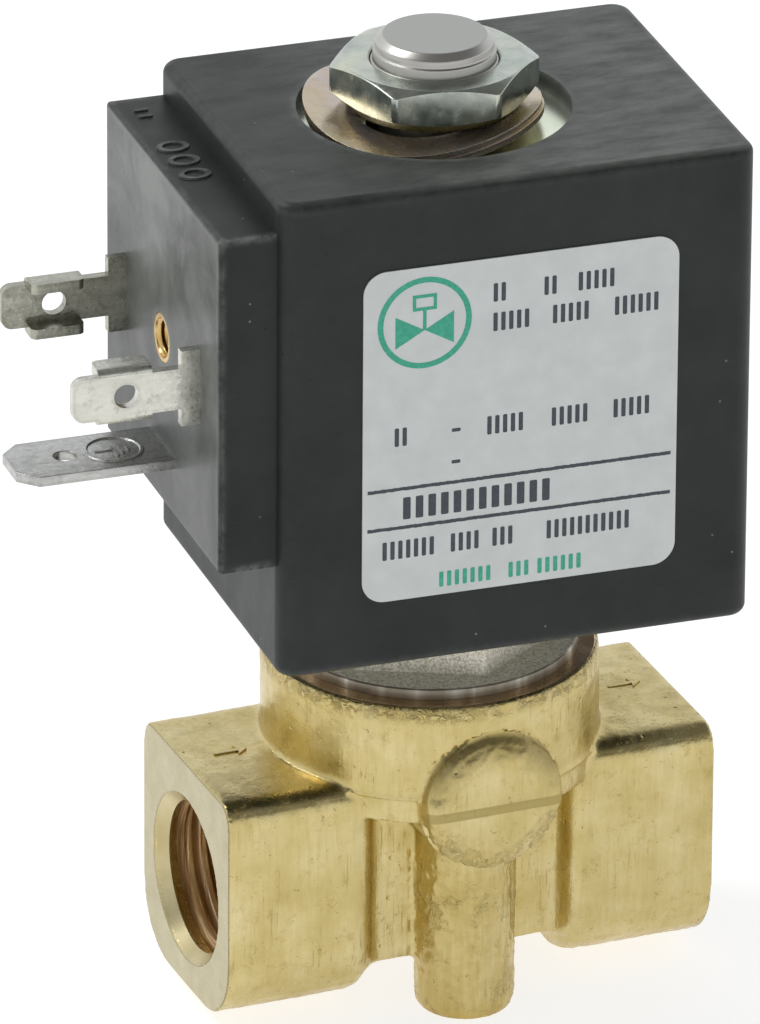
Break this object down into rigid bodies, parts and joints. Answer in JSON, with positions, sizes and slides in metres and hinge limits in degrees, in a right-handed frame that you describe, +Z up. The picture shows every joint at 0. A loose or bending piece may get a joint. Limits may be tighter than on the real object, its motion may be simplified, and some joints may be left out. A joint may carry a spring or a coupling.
{
  "type": "solenoid valve",
  "caption": "Direct-acting two-way solenoid valve: forged brass body with threaded ports and feet, and a black moulded coil with blade terminals, a label and a lock nut.",
  "frame": {"origin": "centre of the two feet's sole plane, on the solenoid axis", "axes": "+Z up the solenoid axis, X along the ports with the terminals towards -X, the label faces -Y"},
  "size_m": [0.0548, 0.032, 0.0775],
  "materials": {
    "forged_brass": "forged, lightly rough",
    "insert_brass": "turned",
    "seal_rubber": "matte",
    "blasted_steel": "blasted, with a turned ring",
    "stainless": "drawn",
    "turned_steel": "turned",
    "copper": "enamelled copper",
    "zinc_washer": "passivated zinc",
    "zinc_nut": "bright zinc",
    "moulded_black": "moulded, satin",
    "zinc_plate": "yellow-green passivated zinc",
    "bobbin_plastic": "moulded nylon",
    "tinned_brass": "tinned",
    "label_film": "silver-grey film"
  },
  "bodies": {
    "body": {"valve_body": "forged_brass", "body_o_ring": "seal_rubber", "neck_nut": "blasted_steel", "guide_tube": "stainless", "fixed_core": "turned_steel", "shading_ring": "copper", "return_spring": "stainless", "spring_washer_lower": "zinc_washer", "spring_washer_upper": "zinc_washer", "lock_nut": "zinc_nut"},
    "armature": {"plunger": "turned_steel", "plunger_seal": "seal_rubber"},
    "coil": {"coil_housing": "moulded_black", "yoke_frame": "zinc_plate", "upper_pole_sleeve": "zinc_plate", "lower_pole_sleeve": "zinc_plate", "coil_bobbin": "bobbin_plastic", "copper_winding": "copper", "lead_wire_front": "copper", "lead_wire_rear": "copper", "line_pin_front": "tinned_brass", "line_pin_rear": "tinned_brass", "earth_pin": "tinned_brass", "plug_screw_insert": "insert_brass", "rating_label": "label_film"}
  },
  "joints": [
    {"name": "plunger_slide", "type": "slide", "parent": "body", "child": "armature", "axis": [0, 0, 1], "range_m": [0, 0.0016], "stiffness_N_per_m": 800, "springref_m": -0.003, "deforming": ["return_spring"]},
    {"name": "coil_turn", "type": "hinge", "parent": "body", "child": "coil", "pos_m": [0, 0, 0.0527], "axis": [0, 0, 1], "continuous": true}
  ]
}
